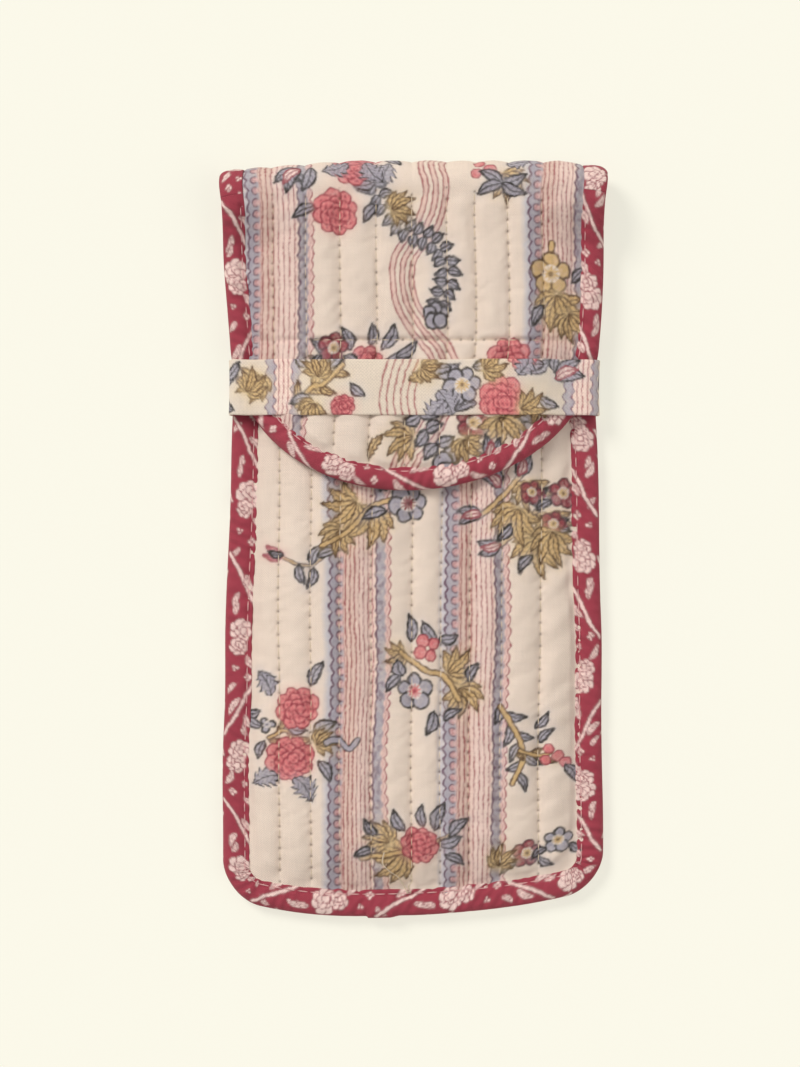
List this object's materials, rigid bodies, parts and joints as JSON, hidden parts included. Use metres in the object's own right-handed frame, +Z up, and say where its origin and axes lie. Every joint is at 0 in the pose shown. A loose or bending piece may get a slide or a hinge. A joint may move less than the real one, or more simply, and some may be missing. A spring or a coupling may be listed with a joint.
{
  "type": "soft pouch glasses case",
  "caption": "Slim quilted cotton pouch for glasses, bound in contrasting cotton, with a fold-over flap that tucks under a cloth band.",
  "frame": {"origin": "middle of the closed pouch's footprint, on the surface it lies on", "axes": "+X across the pouch, +Y from the bottom towards the flap's fold, +Z up through the back, pocket, flap and band"},
  "size_m": [0.1, 0.195, 0.0144],
  "materials": {
    "printed_cotton": "matt printed cotton, cream with a floral stripe",
    "band_cotton": "matt printed cotton, unquilted plain weave",
    "raspberry_cotton": "matt printed cotton, raspberry with pale flowers",
    "lining_cotton": "matt plain cream cotton",
    "wadding": "matt cotton wadding",
    "cream_thread": "matt sewing thread",
    "pink_thread": "matt sewing thread"
  },
  "bodies": {
    "pouch": {"back_cover": "printed_cotton", "back_wadding": "wadding", "back_lining": "lining_cotton", "back_quilting": "cream_thread", "front_cover": "printed_cotton", "front_wadding": "wadding", "front_lining": "lining_cotton", "front_quilting": "cream_thread", "mouth_binding": "raspberry_cotton", "edge_binding": "raspberry_cotton", "edge_stitching": "pink_thread", "closing_band": "band_cotton", "fold_cover": "printed_cotton", "fold_wadding": "wadding", "fold_lining": "lining_cotton", "fold_binding": "raspberry_cotton"},
    "flap": {"flap_cover": "printed_cotton", "flap_wadding": "wadding", "flap_lining": "lining_cotton", "flap_binding": "raspberry_cotton", "flap_quilting": "cream_thread", "flap_stitching": "pink_thread"}
  },
  "joints": [
    {"name": "flap_fold", "type": "hinge", "parent": "pouch", "child": "flap", "pos_m": [0, 0.09078, 0.00673], "axis": [-1, 0, 0], "range_deg": [0, 180], "deforming": ["fold_cover", "fold_wadding", "fold_lining", "fold_binding", "closing_band"]}
  ]
}
